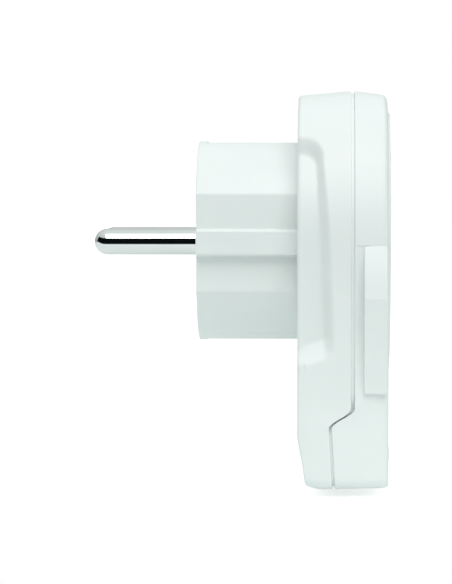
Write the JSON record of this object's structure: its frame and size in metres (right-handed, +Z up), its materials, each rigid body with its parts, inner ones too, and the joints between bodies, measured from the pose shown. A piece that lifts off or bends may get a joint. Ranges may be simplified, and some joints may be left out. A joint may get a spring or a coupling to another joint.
{
  "type": "plug in power meter",
  "caption": "Flat plug-in power meter: round earthed plug behind, socket with safety shutter, display window and press keys in front, wedge grips on the sides.",
  "frame": {"origin": "centre of the plug's end face, between the two pins", "axes": "+Y along the pins, towards the wall; +Z up; the socket and the display face -Y"},
  "size_m": [0.0606, 0.0543, 0.0718],
  "materials": {
    "housing_plastic": "fine satin moulded",
    "socket_plastic": "smooth moulded",
    "key_plastic": "satin moulded",
    "shutter_plastic": "moulded",
    "insulator_plastic": "moulded",
    "pin_nickel": "bright nickel plated brass",
    "strap_nickel": "nickel plated strip",
    "contact_brass": "stamped and rolled",
    "spring_steel": "drawn wire",
    "screw_steel": "zinc plated",
    "circuit_board": "glass epoxy with solder mask",
    "chip_epoxy": "moulded epoxy",
    "capacitor_case": "moulded box",
    "capacitor_sleeve": "shrink sleeve",
    "varistor_lacquer": "dipped",
    "resistor_lacquer": "dipped",
    "shunt_alloy": "stamped resistance alloy",
    "battery_steel": "drawn can",
    "header_plastic": "moulded",
    "contact_rubber": "conductive silicone strips",
    "lcd_glass": "polarised glass",
    "window_plastic": "clear moulded",
    "plunger_plastic": "moulded"
  },
  "bodies": {
    "housing": {"rear_shell": "housing_plastic", "front_shell": "housing_plastic", "plug_body": "housing_plastic", "socket_cup": "socket_plastic", "left_grip": "housing_plastic", "right_grip": "housing_plastic", "line_pin": "pin_nickel", "neutral_pin": "pin_nickel", "line_contact": "contact_brass", "neutral_contact": "contact_brass", "contact_washer": "insulator_plastic", "contact_holder": "insulator_plastic", "upper_earth_strap": "strap_nickel", "lower_earth_strap": "strap_nickel", "earth_link": "strap_nickel", "line_strip": "contact_brass", "neutral_in_strip": "contact_brass", "neutral_out_strip": "contact_brass", "main_board": "circuit_board", "metering_chip": "chip_epoxy", "x2_capacitor": "capacitor_case", "reservoir_capacitor": "capacitor_sleeve", "varistor": "varistor_lacquer", "fuse_resistor": "resistor_lacquer", "rectifier": "chip_epoxy", "shunt": "shunt_alloy", "backup_battery": "battery_steel", "battery_clip": "strap_nickel", "board_link": "header_plastic", "display_board": "circuit_board", "processor_chip": "chip_epoxy", "crystal": "battery_steel", "lcd_frame": "header_plastic", "contact_strips": "contact_rubber", "lcd_glass": "lcd_glass", "display_window": "window_plastic", "key_switches": "header_plastic", "board_screws": "screw_steel", "case_screws": "screw_steel"},
    "shutter": {"shutter": "shutter_plastic", "shutter_spring": "spring_steel"},
    "left_key": {"left_key": "key_plastic", "left_plunger": "plunger_plastic"},
    "middle_key": {"middle_key": "key_plastic", "middle_plunger": "plunger_plastic"},
    "right_key": {"right_key": "key_plastic", "right_plunger": "plunger_plastic"}
  },
  "joints": [
    {"name": "shutter_turn", "type": "hinge", "parent": "housing", "child": "shutter", "pos_m": [0, -0.01945, 0], "axis": [0, 1, 0], "range_deg": [0, 36], "stiffness_Nm_per_rad": 0.02, "springref_deg": -17.19},
    {"name": "left_key_press", "type": "slide", "parent": "housing", "child": "left_key", "axis": [0, 1, 0], "range_m": [0, 0.0005], "stiffness_N_per_m": 1500, "springref_m": -0.0003},
    {"name": "middle_key_press", "type": "slide", "parent": "housing", "child": "middle_key", "axis": [0, 1, 0], "range_m": [0, 0.0005], "stiffness_N_per_m": 1500, "springref_m": -0.0003},
    {"name": "right_key_press", "type": "slide", "parent": "housing", "child": "right_key", "axis": [0, 1, 0], "range_m": [0, 0.0005], "stiffness_N_per_m": 1500, "springref_m": -0.0003}
  ]
}
